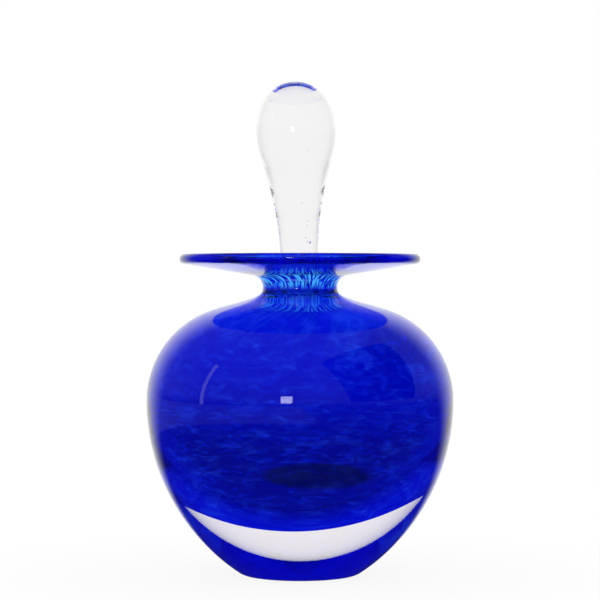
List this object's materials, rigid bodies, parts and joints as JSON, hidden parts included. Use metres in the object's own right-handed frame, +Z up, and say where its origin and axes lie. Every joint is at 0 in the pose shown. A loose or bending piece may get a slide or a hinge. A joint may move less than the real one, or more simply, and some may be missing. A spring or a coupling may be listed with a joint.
{
  "type": "scent bottle",
  "caption": "Blown glass scent bottle: a blue glass bubble cased in clear glass with a thick flat base, a waisted neck, a wide flared lip and a solid drop-shaped ground stopper that lifts out.",
  "frame": {"origin": "centre of the flat base, on the surface that the bottle stands on", "axes": "+Z up along the axis of the body, +X to the right in the picture, -Y towards its viewer"},
  "size_m": [0.0812, 0.0812, 0.1306],
  "materials": {
    "clear_glass": "fire-polished clear glass, ground and polished flat under the base",
    "blue_glass": "transparent cobalt blue glass with fine streaks and clouds",
    "stopper_glass": "polished clear glass with a ground taper"
  },
  "bodies": {
    "bottle": {"clear_casing": "clear_glass", "blue_lining": "blue_glass"},
    "stopper": {"stopper": "stopper_glass"}
  },
  "joints": [
    {"name": "stopper_lift", "type": "slide", "parent": "bottle", "child": "stopper", "axis": [-0.0262, 0, 0.9997], "range_m": [0, 0.04]}
  ]
}
